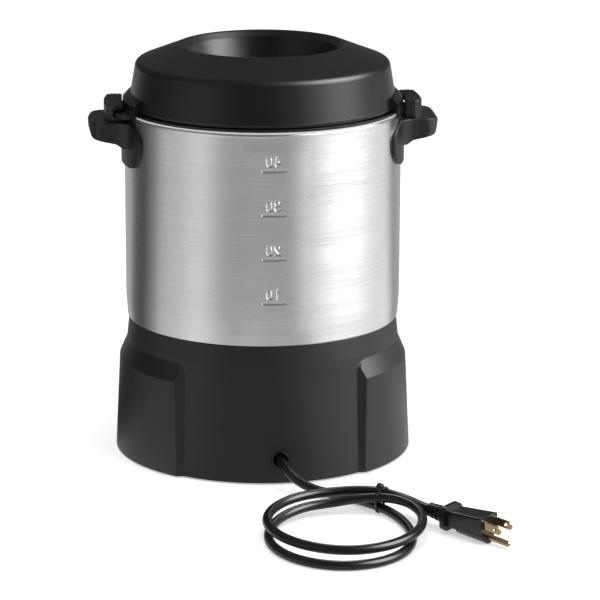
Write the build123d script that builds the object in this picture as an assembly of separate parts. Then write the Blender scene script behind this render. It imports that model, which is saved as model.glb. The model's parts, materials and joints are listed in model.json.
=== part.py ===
from build123d import *
import math
import os

# A coffee urn: an aluminium tank on a black base, a domed twist-lock lid, two wing
# handles, a percolator pump with its basket, a lever tap and a mains cord.
# Millimetres. The origin is on the urn's axis, on the surface that it stands on.
# +Z is up, the tap is at -Y, the cord leaves at +Y and the handles are at +X and -X.

# Tank. The other round pieces take their radii from its outer wall.
tank_r = 114.7            # outer radius of the straight wall
tank_foot_in = 1.3        # how far the wall draws in, just above the base's rim
tank_draw_h = 19.0        # height over which the wall draws in to the foot
tank_draw_round = 60.0
tank_wall = 0.9
tank_sink = 9.7           # underside of the floor below the base's rim
tank_corner = 6.0
step_round = 1.3          # rounding of the step that sits on the rim
rim_gap = 0.3             # between the tank's neck and the base's rim
tank_h = 172.9            # from the base's rim to the centre of the rolled rim
bead_r = 1.5
bead_inset = 1.0          # from the tank's outer wall to the bead's centre
well_r = 24.0             # pressed well for the pump's foot
well_depth = 6.0

# Base
base_foot_out = 5.9       # bottom edge outside the tank's wall
base_lift = 1.5           # bottom edge above the surface
base_waist_in = 0.7
base_waist_drop = 16.7    # waist below the rim
base_rim_in = 2.4
base_rim_z = 114.7        # top of the rim, which carries the tank
base_wall = 2.5
panel_foot_out = 9.7      # raised side panels
panel_bevel_out = 5.9
panel_bevel_h = 15.0
panel_top_in = 0.5
panel_top_drop = 3.0      # panel's top below the waist
panel_foot_half = 97.0    # half-width at the bottom
panel_top_half = 90.0
panel_corner = 10.0
ledge_drop = 15.0         # inner ledge, which the clamp plate pulls on, below the tank's floor
ledge_w = 9.0
ledge_t = 3.0

# Lid
seal_t = 1.2
seal_gap = 0.05
seal_over = 0.3           # the seal starts this far outside the skirt
seal_w = 2.9
flange_over = 0.3         # the flange stops this far inside the seal's edge
flange_t = 2.0
groove_t = 1.1            # shadow groove between flange and cap
groove_depth = 3.0
cap_t = 2.5
cap_foot_in = 3.7         # the cap's radii, in from the tank's wall
shoulder_in = 9.7
shoulder_drop = 14.3      # its depth under the crest
shoulder_round = 6.0
crest_in = 46.7
crest_round = 3.0
cap_h = 49.8              # from the cap's foot to its crest
crest_w = 5.6             # from the crest in to the finger recess
mouth_drop = 5.3
recess_drop = 40.0
recess_draft = 10.4       # the recess narrows this much to its floor
recess_round = 4.0
vent_r = 1.6
vent_count = 3
vent_ring_r = 24.0
skirt_h = 8.0             # locating skirt inside the tank's mouth
skirt_t = 2.0
skirt_gap = 1.2
guide_h = 5.0             # ring under the recess round the pump tube
guide_t = 1.6
guide_gap = 1.5

# Lid ears and the hooks that hold them
ear_half_deg = 22.0
ear_out = 1.1
ear_h = 12.5
ear_bevel = 4.0
lip_gap = 0.5             # lip of the ear outside the tank's bead
lip_t = 1.9
blade_from_deg = 12.3
blade_span_deg = 8.5
blade_reach = 8.0
blade_t = 3.4
blade_over_flange = 1.4
hook_wall = 4.9           # outside the slot
hook_seat_t = 4.1         # floor of the slot above the grip
hook_half_deg = 11.5
hook_stop_deg = 3.0
hook_roof_t = 5.2
hook_gap = 1.0            # above, below and outside the blade
hook_inner_gap = 0.5
hook_bevel = 1.6
hook_corner = 5.0         # upright outer corners, cut at a slant
rib_count = 5
rib_pitch = 2.2
rib_depth = 0.5
peg_r = 3.0
peg_len = 6.0

# Handles
pad_half = 53.5
pad_h = 38.0
pad_drop = 2.6            # top of the pad below the bead's centre
pad_t = 2.7
pad_low_share = 0.5      # rounding of the lower corners, as a share of the height
pad_shoulder_half = 34.0
pad_shoulder_drop = 9.5
pad_shoulder_round = 4.0
pad_high_round = 11.0
grip_over = 14.5          # the grip reaches this far past the hook
grip_half = 30.0
grip_crown = 9.0          # how far the outer edge bulges at the middle
grip_end_t = 13.5
grip_root_t = 17.8
grip_undercut = 4.0
grip_neck = 4.5           # from the pad to the root of the underside
grip_web = 3.0
grip_round = 4.0
grip_web_round = 8.0
grip_heel_round = 1.0
grip_corner = 9.0
grip_blend = 16.0         # hollow round from the grip's end to its pad
grip_panel_inset = 3.6
grip_panel_depth = 0.8
handle_screw_drop = 10.3  # below the top of the grip
handle_screw_deg = 8.0
screw_r = 1.9
screw_gap = 0.3
screw_grip = 14.0         # length in the handle
screw_head_r = 3.8
screw_head_t = 2.2
washer_r = 5.5
washer_t = 1.0

# Percolator pump
tube_r = 6.4
tube_wall = 0.8
tube_top_gap = 4.8        # under the lid's recess
tube_sunk = 3.0           # end of the tube inside the foot's neck
foot_r = 21.0
foot_h = 16.0
foot_wall = 1.0
foot_gap = 0.05
foot_notch_w = 6.0
foot_notch_h = 4.0
foot_notch_count = 4
foot_band = 2.5           # straight band at the bell's mouth
foot_draw = 2.0           # the bell narrows this much to half height
neck_wall = 2.0
neck_h = 3.0
strainer_t = 0.8
strainer_hole_r = 2.0
strainer_ring_r = 12.0
strainer_count = 6
collar_drop = 82.0        # collar that carries the basket, below the tube's top
collar_r = 9.0
collar_t = 2.0
basket_r = 72.0
basket_h = 62.0
basket_wall = 0.8
basket_lip = 1.5          # rolled lip of the basket and edge of its spreader
basket_lip_h = 2.0
basket_gap = 0.3          # round the pump tube
sleeve_h = 34.0
sleeve_wall = 0.8
hole_rows = (20.0, 33.0, 46.0, 59.0)
hole_pitch = 12.0
basket_hole_r = 1.5
spreader_t = 0.8
spreader_rim_h = 5.0
spreader_gap = 0.4

# Tap
tap_rise = 16.3           # shank above the start of the straight wall
tap_reach = 36.0          # from the tank's wall to the barrel's axis
barrel_r = 13.0
barrel_bore_r = 9.4
barrel_up = 16.0
seat_drop = 9.0           # valve seat below the shank's axis
barrel_floor_t = 3.0
outlet_r = 5.5
nozzle_r = 8.5
nozzle_len = 15.0
shank_r = 8.4
shank_bore_r = 5.0
shank_gap = 0.3
shank_inner_len = 17.0
tap_flange_r = 14.5
tap_flange_t = 4.0
gasket_r = 13.5
gasket_t = 2.0
nut_r = 13.5
nut_t = 6.0
bonnet_r = 15.0
bonnet_top_t = 4.0
bonnet_skirt = 7.0
stem_r = 2.8
stem_gap = 0.3
cup_r = 8.4
cup_h = 7.0
cup_gap = 0.05
spring_wire_r = 0.55
spring_r = 5.4
spring_turns = 4
eye_w = 6.0
eye_depth = 8.0
eye_over = 4.2
pin_r = 1.6
eye_under = 1.0           # the eye starts this far down the stem
cup_foot = 1.5            # the cup's face outside the outlet
cup_bevel = 3.0
pin_gap = 0.05
cheek_t = 3.2
cheek_gap = 0.3
cam_r = 6.2               # pin height above the bonnet with the tap shut
cam_gap = 0.1
cam_throw = 4.5           # lift of the stem for each radian of the lever
cam_turn_deg = 45.0
lever_len = 44.0
lever_lean_deg = 28.0
lever_t = 5.5
lever_tip_w = 24.0
lever_web = 5.0           # thickening between cheeks and bridge
lever_web_drop = 1.0

# Heater and wiring in the base
heater_r = 42.0
heater_tube_r = 3.6
heater_gap_deg = 40.0
heater_leg = 22.0
bed_half = 7.0            # half-width of the ring that beds the heater
bed_t = 6.0
plate_t = 1.5             # clamp plate, which is also the heat shield
plate_gap = 1.0
plate_hole_gap = 2.0
stud_r = 2.9
stud_len = 26.0
stud_head_r = 10.0
stud_head_t = 2.0
nut_washer_over = 3.0     # the nut's washer past its corners
centre_nut_r = 7.0
centre_nut_t = 5.0
thermostat_r = 8.5
thermostat_h = 9.0
thermostat_y = -72.0
spade = (0.8, 6.0, 6.0)   # its flat terminals
fuse_size = (8.0, 24.0, 6.0)
fuse_x = 66.0
block_size = (36.0, 16.0, 14.0)
block_pos = (-44.0, 58.0)
block_screw_r = 2.2
block_screw_sunk = 3.0
wire_r = 1.4
wire_gap = 1.0            # between the wires where they enter
wire_straight = 14.0      # straight length at each end
wire_bend = 7.0
lens_r = 4.0
lens_z = 56.0
lens_proud = 1.4
lens_flange_r = 5.4
lens_step = 0.4           # back of the flange in front of the wall
lamp_r = 3.2
lamp_len = 18.0
cover_z = 3.5
cover_t = 2.2
cover_gap = 0.5
vent_slot = (26.0, 3.0)
vent_slot_count = 12
vent_slot_ring_r = 62.0
boss_r = 4.5
boss_in = 16.6            # cover screws, in from the base's bottom edge
boss_h = 34.0
boss_count = 4
pad_foot_r = 8.5
pad_foot_in = 22.6        # feet, in from the base's bottom edge
pad_foot_draft = 1.0
pad_foot_count = 4

# Mains cord
cord_d = 7.6
cord_out = (-5.6, 21.0)   # across and height of the hole's centre in the back wall
cord_inner_len = 9.77     # the cord starts this far inside the wall's outer face
bushing_r = 7.2
bushing_mouth_r = 6.0
bushing_len = 10.0
bushing_proud = 0.8
bushing_grip = 4.0
bushing_collar_r = 9.0
bushing_collar_t = 2.0
bushing_collar_gap = 1.2  # clears the curve of the wall
bushing_joint = 1.0       # overlap of collar and bush
exit_points = [(-5.6, 123.5, 21.0), (-8.6, 137.0, 18.6), (-17.0, 147.5, 11.8), (-31.0, 154.0, 6.0),
               (-47.5, 161.5, 4.2), (-61.5, 173.5, 4.1), (-71.2, 187.2, 5.0)]
tie_low = (-77.0, 196.0, 5.3)
tie_mid = (-76.5, 199.8, 14.2)
tie_top = (-76.5, 190.0, 16.2)
tie_mid_way = (-0.96, 0.27, 0.0)
turn_centres = [(-40.5, 262.0), (-45.2, 248.5)]
turn_halves = [(55.0, 65.0), (59.8, 64.0)]
turn_heights = [(3.85, 3.85, 3.85, 9.0), (13.6, 10.8, 12.6, 14.2)]   # right, front, left, back
tail_points = [(-85.9, 193.4, 14.7), (-95.2, 199.6, 13.3), (-102.7, 208.6, 12.7), (-107.1, 219.2, 13.2)]
tie_w = 2.4
tie_t = 0.8
tie_gap = 0.5
tie_twist_r = 1.3
tie_twist_lean = (-2.0, 3.0, 9.0)

# Plug. In its own frame the cord ends at the origin and the blades point along +X.
plug_start = (-114.2, 227.8, 12.7)
plug_turn_deg = 129.7
plug_nose_down_deg = 2.6
plug_roll_deg = 5.0
plug_len = 62.0           # cord end to face
relief_len = 20.0
relief_core_r = 4.6
relief_rib_r = (5.6, 7.0)
relief_rib_count = 5
relief_rib_w = 2.0
run_share = 0.45          # each arc takes this much of its shorter run
plate_size = (4.0, 22.0, 20.0)
plate_rise = 1.0
body_back = (15.5, 13.5)
body_back_rise = 1.5
body_face = (18.5, 17.0)
body_face_rise = 5.0
body_edge = 1.4
hump_r = 5.5
hump_len = 30.0
blade_line = 7.4          # blades above the cord's axis
blade_pitch = 12.7
plug_blade = (17.5, 1.5, 6.35)
blade_hole_r = 1.6
blade_hole_from = 11.9
ground_drop = 11.86
ground_r = 2.4
ground_len = 21.0

# How far a cutter runs past what it cuts
over = 5.0

# Worked out from the above
cord_r = cord_d / 2
base_foot_r = tank_r + base_foot_out
base_waist_r = tank_r - base_waist_in
base_waist_z = base_rim_z - base_waist_drop
base_rim_r = tank_r - base_rim_in
panel_foot_r = tank_r + panel_foot_out
panel_bevel_r = tank_r + panel_bevel_out
panel_top_r = tank_r - panel_top_in
panel_top_z = base_waist_z - panel_top_drop
panel_bevel_z = panel_top_z - panel_bevel_h
boss_ring_r = base_foot_r - boss_in
pad_foot_ring_r = base_foot_r - pad_foot_in
tank_foot_r = tank_r - tank_foot_in
tank_floor_z = base_rim_z - tank_sink
tank_in_r = tank_r - tank_wall
tank_neck_r = base_rim_r - base_wall - rim_gap
tank_floor_top = tank_floor_z + tank_wall
ledge_z = tank_floor_z - ledge_drop
well_top = tank_floor_top - well_depth
bead_z = base_rim_z + tank_h
bead_c = tank_r - bead_inset
bead_out_r = bead_c + bead_r
bead_top_z = bead_z + bead_r
skirt_r = bead_c - bead_r - skirt_gap
seal_in_r = skirt_r + seal_over
seal_out_r = seal_in_r + seal_w
flange_z = bead_top_z + 2 * seal_gap + seal_t
flange_r = seal_out_r - flange_over
cap_z = flange_z + flange_t + groove_t
cap_foot_r = tank_r - cap_foot_in
crest_r = tank_r - crest_in
crest_z = cap_z + cap_h
shoulder_r = tank_r - shoulder_in
shoulder_z = crest_z - shoulder_drop
mouth_r = crest_r - crest_w
core_in_r = cap_foot_r - groove_depth - cap_t
recess_z = crest_z - recess_drop
recess_floor_r = mouth_r - recess_draft
ear_r = tank_r + ear_out
lip_in_r = bead_out_r + lip_gap
lip_out_r = lip_in_r + lip_t
blade_z = flange_z + blade_over_flange - blade_t
blade_out_r = lip_out_r + blade_reach
hook_in_r = lip_out_r + hook_inner_gap
slot_r = blade_out_r + hook_gap
hook_r = slot_r + hook_wall
peg_at_r = (hook_in_r + hook_r) / 2
slot_z = blade_z - hook_gap
slot_top_z = blade_z + blade_t + hook_gap
hook_top_z = slot_top_z + hook_roof_t
pad_r = tank_r + pad_t
pad_top_z = bead_z - pad_drop
pad_bottom_z = pad_top_z - pad_h
grip_top_z = slot_z - hook_seat_t
grip_reach = hook_r + grip_over
handle_screw_z = grip_top_z - handle_screw_drop
tube_top_z = recess_z - cap_t - tube_top_gap
collar_z = tube_top_z - collar_drop
tap_z = base_rim_z + tank_draw_h + tap_rise
tap_y = -(tank_r + tap_reach)
seat_z = tap_z - seat_drop
bonnet_z = tap_z + barrel_up
bonnet_top_z = bonnet_z + bonnet_top_t
pin_z = bonnet_top_z + cam_r + cam_gap
tie_low_way = tuple(Vector(*tie_low) - Vector(*exit_points[-1]))
tie_top_way = tuple(Vector(*tail_points[0]) - Vector(*tie_top))
plate_z = ledge_z - ledge_t
cover_top = cover_z + cover_t


def base_r_at(z):
    """Outer radius of the base's plain skirt at a height."""
    share = (z - base_lift) / (base_waist_z - base_lift)
    return base_foot_r + (base_waist_r - base_foot_r) * share


def panel_r_at(z):
    """Outer radius of a raised panel at a height under its bevel."""
    share = (z - base_lift) / (panel_bevel_z - base_lift)
    return panel_foot_r + (panel_bevel_r - panel_foot_r) * share


def polar(r, deg, z=0.0):
    a = math.radians(deg)
    return (r * math.cos(a), r * math.sin(a), z)


def spun(section):
    """A round solid from a half section drawn as (radius, height)."""
    return revolve(Plane.XZ * section, Axis.Z, 360)


def turned(*points):
    return spun(make_face(Polyline(*points, close=True)))


def spun_line(line):
    """A round solid under a line that starts on the axis; it is closed back to the axis."""
    start, end = line @ 0, line @ 1
    back = Polyline(end, (0, end.Y), start)
    return spun(make_face(line.edges() + back.edges()))


def ring(r_out, r_in, z0, z1):
    return turned((r_in, z0), (r_out, z0), (r_out, z1), (r_in, z1))


def disc(r, z0, z1, x=0.0, y=0.0):
    return Pos(x, y, (z0 + z1) / 2) * Cylinder(r, z1 - z0)


def rod(r, start, end):
    a, b = Vector(*start), Vector(*end)
    return extrude(Plane(origin=a, z_dir=b - a) * Circle(r), (b - a).length)


def sector(from_deg, to_deg, z0, z1, reach=200.0):
    """A wedge about the urn's axis, under half a turn wide."""
    mid = (from_deg + to_deg) / 2
    far = reach / math.cos(math.radians((to_deg - from_deg) / 2))
    corners = [(0, 0), polar(far, from_deg)[:2], polar(reach, mid)[:2], polar(far, to_deg)[:2]]
    return Pos(0, 0, z0) * extrude(make_face(Polyline(*corners, close=True)), z1 - z0)


def around(shape, count, start_deg=0.0):
    return [Rot(0, 0, start_deg + 360 * i / count) * shape for i in range(count)]


def hexagon(r, z0, z1):
    return Pos(0, 0, z0) * extrude(RegularPolygon(r, 6), z1 - z0)


def to_front(shape, z, y=0.0):
    """Stands a shape that was made along +Z so that it points along -Y."""
    return Pos(0, y, z) * Rot(90, 0, 0) * shape


def save(name, *shapes):
    solids = [solid for shape in shapes for solid in shape.solids()]
    export_step(solids[0] if len(solids) == 1 else Compound(children=solids), f"parts/{name}.step")


def tank_section(inset):
    floor = tank_floor_z + inset
    step = base_rim_z + inset
    return FilletPolyline(
        (0, floor), (tank_neck_r - inset, floor), (tank_neck_r - inset, step), (tank_foot_r - inset, step),
        (tank_r - inset, step + tank_draw_h), (tank_r - inset, bead_z),
        radius=[tank_corner - inset, rim_gap + inset, step_round - inset / 2, tank_draw_round],
    )


def tank():
    outside = spun_line(tank_section(0)) + disc(well_r, tank_floor_z - well_depth, tank_floor_top)
    inside = spun_line(tank_section(tank_wall)) + disc(well_r - tank_wall, well_top, tank_floor_top + 1)
    bead = Pos(0, 0, bead_z) * Torus(bead_c, bead_r)
    shell = outside - inside + bead
    for deg in handle_screw_places():
        shell -= rod(screw_r + screw_gap, polar(tank_in_r - over, deg, handle_screw_z),
                     polar(tank_r + over, deg, handle_screw_z))
    return shell - rod(shank_r + shank_gap, (0, over - tank_in_r, tap_z), (0, -tank_r - over, tap_z))


def handle_screw_places():
    return [mid + turn for mid in (0, 180) for turn in (-handle_screw_deg, handle_screw_deg)]


def base_core(inset):
    """The plain skirt, whole; the inset gives the space inside its wall."""
    return turned((0, base_lift - inset), (base_foot_r - inset, base_lift - inset),
                  (base_waist_r - inset, base_waist_z), (base_rim_r - inset, base_rim_z + inset),
                  (0, base_rim_z + inset))


def base_panel(inset):
    """The raised panel on the +X side, whole down to the axis."""
    block = turned((0, base_lift - inset), (panel_foot_r - inset, base_lift - inset),
                   (panel_bevel_r - inset, panel_bevel_z), (panel_top_r - inset, panel_top_z),
                   (0, panel_top_z))
    foot, top = panel_foot_half - inset, panel_top_half - inset
    front = FilletPolyline((-foot, base_lift - inset), (-top, panel_top_z - inset),
                           (top, panel_top_z - inset), (foot, base_lift - inset), radius=[panel_corner] * 2)
    edge = Line(front @ 1, front @ 0)
    return block & extrude(Plane.YZ * make_face(front.edges() + edge.edges()), panel_foot_r)


def base_boss():
    """A post for one cover screw, behind a panel and tied to its wall by a rib."""
    post = disc(boss_r, cover_top, cover_top + boss_h, boss_ring_r)
    rib_out = panel_r_at(cover_top + boss_h) - base_wall / 2
    rib = Pos((boss_ring_r + rib_out) / 2, 0, cover_top + boss_h / 2) * Box(
        rib_out - boss_ring_r, base_wall, boss_h)
    return post + rib - disc(screw_r, cover_top, cover_top + screw_grip, boss_ring_r)


def base_shell():
    ledge_out = base_r_at(ledge_z) - base_wall / 2
    outside, inside = base_core(0), base_core(base_wall)
    for turn in (0, 180):
        outside += Rot(0, 0, turn) * base_panel(0)
        inside += Rot(0, 0, turn) * base_panel(base_wall)
    shell = outside - inside + ring(ledge_out, ledge_out - ledge_w, plate_z, ledge_z)
    for boss in around(base_boss(), boss_count, 180 / boss_count):
        shell += boss
    x, z = cord_out
    back, front = base_r_at(z), base_r_at(lens_z)
    shell -= rod(bushing_r, (x, back - base_wall - over, z), (x, back + over, z))
    return shell - to_front(disc(lens_r, front - base_wall - over, front + over), lens_z)


def bottom_cover():
    cover = disc(base_r_at(cover_z) - base_wall - cover_gap, cover_z, cover_top)
    slot = Pos(vent_slot_ring_r, 0, cover_z) * Box(vent_slot[0], vent_slot[1], 3 * cover_t)
    for cut in around(slot, vent_slot_count):
        cover -= cut
    hole = disc(screw_r + screw_gap, 0, cover_top + over, boss_ring_r)
    for cut in around(hole, boss_count, 180 / boss_count):
        cover -= cut
    return cover


def cover_screw():
    head = disc(screw_head_r, cover_z - screw_head_t, cover_z, boss_ring_r)
    return head + disc(screw_r, cover_z, cover_top + screw_grip, boss_ring_r)


def foot_pad():
    pad = turned((0, 0), (pad_foot_r - pad_foot_draft, 0), (pad_foot_r, cover_z), (0, cover_z))
    return Pos(pad_foot_ring_r, 0, 0) * pad


def clamp_plate():
    rim_r = base_r_at(ledge_z) - base_wall - plate_gap
    plate = disc(rim_r, plate_z - plate_t, plate_z) - disc(stud_r + screw_gap, 0, plate_z + over)
    for x, y in heater_leg_places():
        plate -= disc(heater_tube_r + plate_hole_gap, 0, plate_z + over, x, y)
    return plate


def heater_leg_places():
    return [polar(heater_r, turn * heater_gap_deg / 2)[:2] for turn in (-1, 1)]


def heater():
    top = tank_floor_z - bed_t
    section = Plane.XZ * (Pos(heater_r, top) * Circle(heater_tube_r))
    bend = Rot(0, 0, heater_gap_deg / 2) * revolve(section, Axis.Z, 360 - heater_gap_deg)
    for x, y in heater_leg_places():
        bend += disc(heater_tube_r, top - heater_leg, top, x, y) + Pos(x, y, top) * Sphere(heater_tube_r)
    return bend


def heater_bed():
    return ring(heater_r + bed_half, heater_r - bed_half, tank_floor_z - bed_t, tank_floor_z) - heater()


def tank_stud():
    top = tank_floor_z - well_depth
    return disc(stud_head_r, top - stud_head_t, top) + disc(stud_r, top - stud_len, top)


def centre_nut():
    low = plate_z - plate_t
    nut = hexagon(centre_nut_r, low - centre_nut_t, low - washer_t) - disc(stud_r, 0, low)
    return nut + ring(centre_nut_r + nut_washer_over, stud_r, low - washer_t, low)


def thermostat():
    low = tank_floor_z - thermostat_h
    can = disc(thermostat_r, low, tank_floor_z, 0, thermostat_y)
    for side in (-1, 1):
        can += Pos(side * thermostat_r / 2, thermostat_y, low - spade[2] / 2) * Box(*spade)
    return can


def thermal_fuse():
    x, y, z = fuse_size
    return Pos(fuse_x, 0, tank_floor_z - z / 2) * Box(x, y, z)


def terminal_block():
    x, y, z = block_size
    block = Pos(block_pos[0], block_pos[1], cover_top + z / 2) * Box(x, y, z)
    for place in (-1, 0, 1):
        block -= disc(block_screw_r, cover_top + z - block_screw_sunk, cover_top + z,
                      block_pos[0] + place * x / 3, block_pos[1])
    return block


def wire(*points):
    return sweep(Plane(origin=points[0], z_dir=Vector(*points[1]) - Vector(*points[0])) * Circle(wire_r),
                 FilletPolyline(*points, radius=wire_bend))


def mains_wires():
    """Three wires from the cord's inner end to the terminal block's side."""
    wires = []
    start_y = base_r_at(cord_out[1]) - cord_inner_len
    end_y = block_pos[1] + block_size[1] / 2
    for place in (-1, 0, 1):
        x = cord_out[0] + place * (wire_r + wire_gap)
        to_x = block_pos[0] + place * block_size[0] / 3
        z = cover_top + block_size[2] / 2
        wires.append(wire((x, start_y, cord_out[1]), (x, start_y - wire_straight, cord_out[1]),
                          (to_x, end_y + wire_straight, z), (to_x, end_y, z)))
    return wires


def heater_wires():
    """Two leads from the block's other side up to the heater's legs."""
    wires = []
    start_y = block_pos[1] - block_size[1] / 2
    for place, (x, y) in zip((-1, 1), heater_leg_places()):
        from_x = block_pos[0] + place * block_size[0] / 3
        z = cover_top + block_size[2] / 2
        low = tank_floor_z - bed_t - heater_leg
        wires.append(wire((from_x, start_y, z), (from_x, y, z), (x, y, z), (x, y, low)))
    return wires


def lamp():
    face = base_r_at(lens_z) - base_wall
    return to_front(disc(lamp_r, face - lamp_len, face), lens_z)


def lamp_lens():
    face = base_r_at(lens_z)
    plug = disc(lens_r, face - base_wall, face + lens_proud)
    collar = disc(lens_flange_r, face + lens_step, face + lens_proud)
    return to_front(plug + collar, lens_z)


def cap_solid(inset):
    """The cap, filled: a steep side, a shoulder, a shallow cone and a rounded crest round the mouth."""
    line = FilletPolyline((cap_foot_r - inset, cap_z), (shoulder_r - inset, shoulder_z - inset),
                          (crest_r, crest_z - inset), (mouth_r, crest_z - mouth_drop - inset),
                          radius=[shoulder_round - inset, crest_round])
    start, end = line @ 0, line @ 1
    back = Polyline(end, (0, end.Y), (0, cap_z), start)
    return spun(make_face(line.edges() + back.edges()))


def recess_solid(grow):
    line = FilletPolyline((0, recess_z - grow), (recess_floor_r + grow, recess_z - grow),
                          (mouth_r + grow, crest_z - mouth_drop), (mouth_r + grow, crest_z + over),
                          radius=[recess_round + grow, recess_round])
    return spun_line(line)


def lid_cap():
    outside = cap_solid(0)
    return outside - cap_solid(cap_t) + (recess_solid(cap_t) & outside) - recess_solid(0)


def lid_ear():
    """The thick ear on the +X side, with its lip outside the bead and the hook's blade."""
    top = flange_z + ear_h
    body = turned((core_in_r, flange_z), (lip_in_r, flange_z), (lip_in_r, blade_z), (lip_out_r, blade_z),
                  (lip_out_r, flange_z + flange_t), (ear_r, flange_z + flange_t + lip_t),
                  (ear_r, top - ear_bevel), (ear_r - ear_bevel, top), (core_in_r, top))
    ear = body & sector(-ear_half_deg, ear_half_deg, blade_z, top)
    blade = ring(blade_out_r, lip_out_r - lip_t / 2, blade_z, blade_z + blade_t)
    return ear + (blade & sector(blade_from_deg, blade_from_deg + blade_span_deg, blade_z, top))


def lid():
    shape = lid_cap()
    shape += ring(cap_foot_r, core_in_r, cap_z, cap_z + cap_t)
    shape += ring(cap_foot_r - groove_depth, core_in_r, flange_z + flange_t, cap_z)
    shape += ring(flange_r, core_in_r, flange_z, flange_z + flange_t)
    shape += ring(skirt_r, skirt_r - skirt_t, flange_z - skirt_h, flange_z)
    guide_in_r = tube_r + guide_gap
    shape += ring(guide_in_r + guide_t, guide_in_r, recess_z - cap_t - guide_h, recess_z - cap_t)
    for turn in (0, 180):
        shape += Rot(0, 0, turn) * lid_ear()
    for cut in around(disc(vent_r, recess_z - cap_t, recess_z, vent_ring_r), vent_count, 90):
        shape -= cut
    return shape


def lid_seal():
    return ring(seal_out_r, seal_in_r, bead_top_z + seal_gap, bead_top_z + seal_gap + seal_t)


def lid_hook():
    """The hook on the +X grip. Its slot is open at the back and stopped at the front."""
    body = turned((hook_in_r, grip_top_z), (hook_r, grip_top_z), (hook_r, hook_top_z - hook_bevel),
                  (hook_r - hook_bevel, hook_top_z), (hook_in_r, hook_top_z))
    hook = body & sector(-hook_half_deg, hook_half_deg, grip_top_z, hook_top_z)
    corners = hook.edges().filter_by(Axis.Z).sort_by(Axis.X)[-2:]
    hook = chamfer(corners, hook_corner)
    slot = ring(slot_r, hook_in_r - over, slot_z, slot_top_z)
    hook -= slot & sector(hook_stop_deg - hook_half_deg, hook_half_deg + over, slot_z, slot_top_z)
    for i in range(rib_count):
        r = hook_r - 2 * hook_bevel - i * rib_pitch
        hook -= ring(r, r - rib_pitch / 2, hook_top_z - rib_depth, hook_top_z)
    return hook + disc(peg_r, grip_top_z - peg_len, slot_z, peg_at_r)


def pad_block():
    """The pad's outline seen from the side, run outward far enough for the grip's blends."""
    side_top = pad_top_z - pad_shoulder_drop
    rounds = [pad_low_share * pad_h, pad_high_round, pad_shoulder_round]
    outline = FilletPolyline(
        (0, pad_bottom_z), (pad_half, pad_bottom_z), (pad_half, side_top),
        (pad_shoulder_half, pad_top_z), (-pad_shoulder_half, pad_top_z),
        (-pad_half, side_top), (-pad_half, pad_bottom_z), (-pad_t, pad_bottom_z),
        radius=rounds + rounds[::-1],
    )
    edge = Line(outline @ 1, outline @ 0)
    return extrude(Plane.YZ * make_face(outline.edges() + edge.edges()), grip_reach)


def grip_profile():
    """The grip's outline, seen along the rim, with the hollow under its root."""
    root_x = pad_r + grip_neck
    low = grip_top_z - grip_root_t
    heel_x = tank_r + grip_heel_round
    side = FilletPolyline((heel_x, grip_top_z), (grip_reach, grip_top_z),
                          (grip_reach - grip_undercut, grip_top_z - grip_end_t), (root_x, low),
                          (pad_r, low - grip_web), (heel_x, low - grip_web),
                          radius=[grip_round, grip_round, grip_web_round, grip_heel_round])
    edge = Line(side @ 1, side @ 0)
    return make_face(side.edges() + edge.edges())


def grip_blends():
    """The hollow rounds that lead from the grip's ends into the pad."""
    low = grip_top_z - grip_root_t - grip_web
    to_hollow, hollow_y = pad_r + grip_blend, grip_half + grip_blend
    hollow_x = math.sqrt(to_hollow ** 2 - hollow_y ** 2)
    on_pad = (hollow_x * pad_r / to_hollow, hollow_y * pad_r / to_hollow)
    at_wall = (on_pad[0] * tank_r / pad_r, on_pad[1] * tank_r / pad_r)
    blends = []
    for side in (-1, 1):
        plan = Polyline((hollow_x, side * grip_half), (at_wall[0], 0), (at_wall[0], side * at_wall[1]),
                        (on_pad[0], side * on_pad[1]), close=True)
        hollow = disc(grip_blend, low, grip_top_z, hollow_x, side * hollow_y)
        blends.append(Pos(0, 0, low) * extrude(make_face(plan), grip_top_z - low, dir=(0, 0, 1)) - hollow)
    heel_x = tank_r + grip_heel_round
    root = Polyline((heel_x, low), (hollow_x, low), (hollow_x, grip_top_z), (heel_x, grip_top_z), close=True)
    outside = extrude(Plane.XZ * (make_face(root) - grip_profile()), hollow_y, both=True)
    return blends[0] + blends[1] - outside


def handle_grip():
    low = grip_top_z - grip_root_t
    profile = grip_profile()
    grip = extrude(Plane.XZ * profile, grip_half, both=True)
    outer = grip_reach - grip_crown
    inner = tank_r - grip_over
    plan = Polyline((outer, -grip_half), (inner, -grip_half), (inner, grip_half), (outer, grip_half))
    bow = ThreePointArc((outer, grip_half), (grip_reach, 0), (outer, -grip_half))
    slab = Pos(0, 0, low - grip_web) * extrude(make_face(plan.edges() + bow.edges()), 2 * grip_root_t)
    corners = slab.edges().filter_by(Axis.Z).sort_by(Axis.X)[-2:]
    grip &= fillet(corners, grip_corner)
    panel = offset(profile, amount=-grip_panel_inset)
    for y in (-1, 1):
        grip -= Pos(0, y * (grip_half - grip_panel_depth / 2), 0) * extrude(
            Plane.XZ * panel, grip_panel_depth / 2, both=True)
    return grip


def handle():
    block = pad_block()
    shape = (ring(pad_r, tank_r, pad_bottom_z, pad_top_z) & block) + handle_grip() + (grip_blends() & block)
    shape -= disc(tank_r, pad_bottom_z, pad_top_z)
    shape -= disc(peg_r, grip_top_z - peg_len, grip_top_z + over, peg_at_r)
    for deg in (-handle_screw_deg, handle_screw_deg):
        shape -= rod(screw_r, polar(tank_in_r, deg, handle_screw_z),
                     polar(tank_r + screw_grip, deg, handle_screw_z))
    return shape


def handle_screw(deg):
    seat = tank_in_r - washer_t
    shank = rod(screw_r, polar(seat, deg, handle_screw_z), polar(tank_r + screw_grip, deg, handle_screw_z))
    head_end = polar(seat - screw_head_t, deg, handle_screw_z)
    return shank + rod(screw_head_r, head_end, polar(seat, deg, handle_screw_z))


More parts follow.
